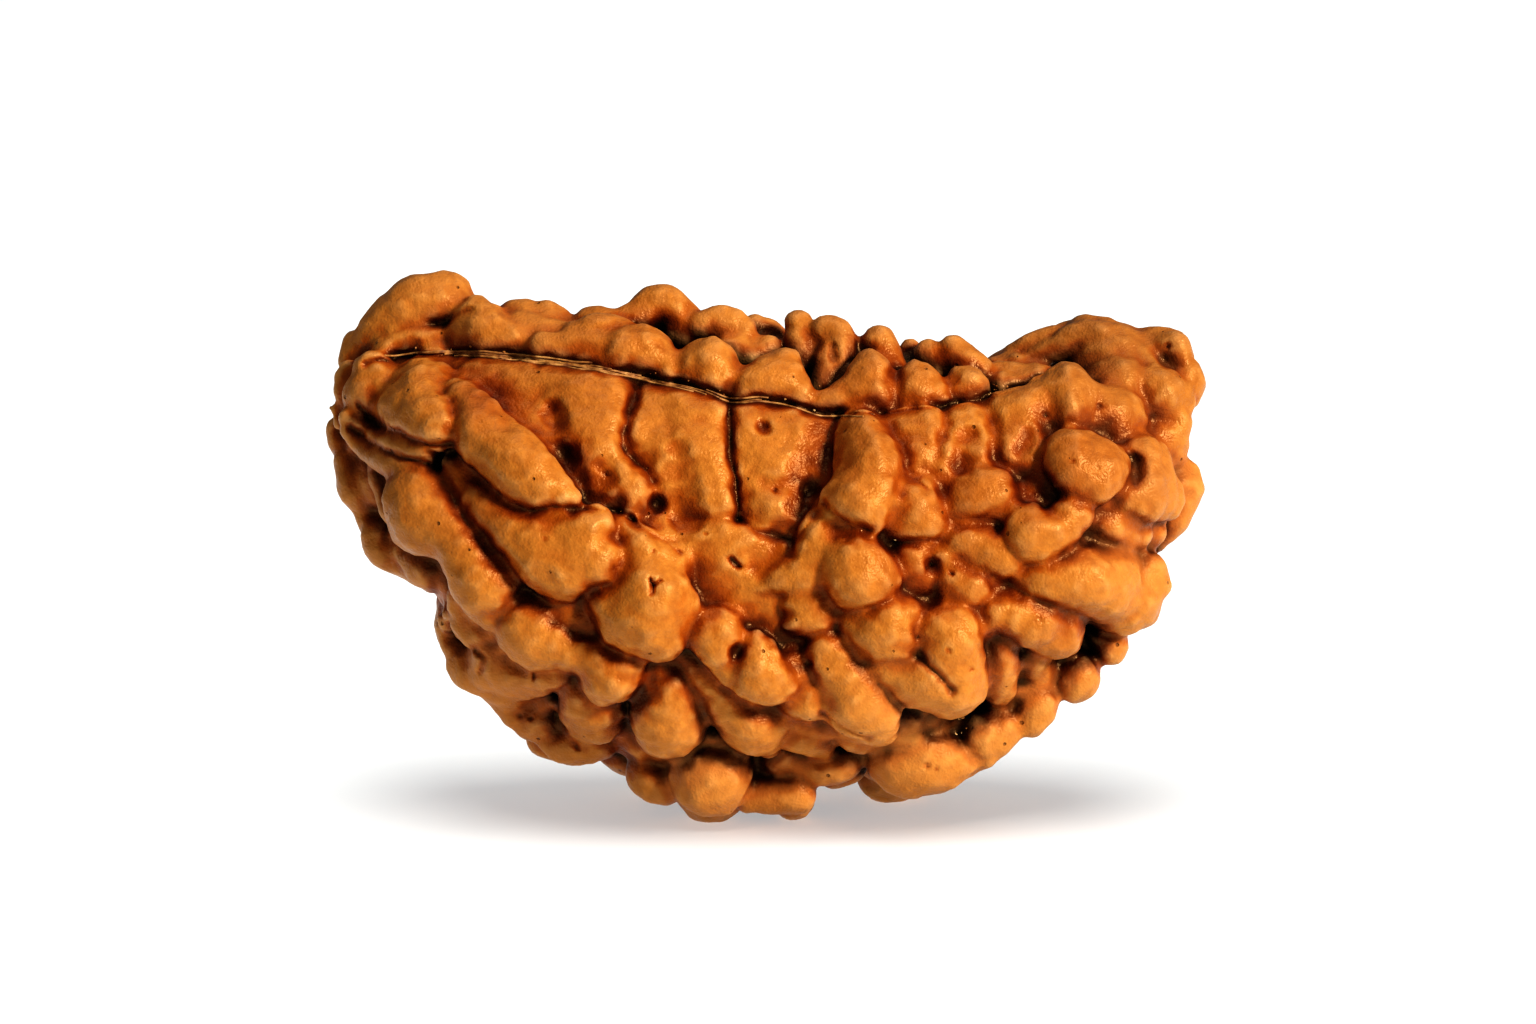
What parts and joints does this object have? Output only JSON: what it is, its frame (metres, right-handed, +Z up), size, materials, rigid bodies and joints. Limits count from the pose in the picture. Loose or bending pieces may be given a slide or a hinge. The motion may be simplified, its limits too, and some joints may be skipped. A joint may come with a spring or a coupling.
{
  "type": "one mukhi rudraksha",
  "caption": "Half-moon rudraksha bead, a natural fruit stone covered in knobbly lobes, with one seam along its straight edge, standing on its rounded edge.",
  "frame": {"origin": "on the resting plane, under the middle of the bead's box", "axes": "+X along the bead's length, +Z up from the rounded belly to the straight edge, -Y out of the side that shows the seam"},
  "size_m": [0.03, 0.0126, 0.0184],
  "materials": {
    "shell": "dried and oiled, slightly waxy"
  },
  "bodies": {
    "root": {"bead": "shell"}
  },
  "joints": []
}
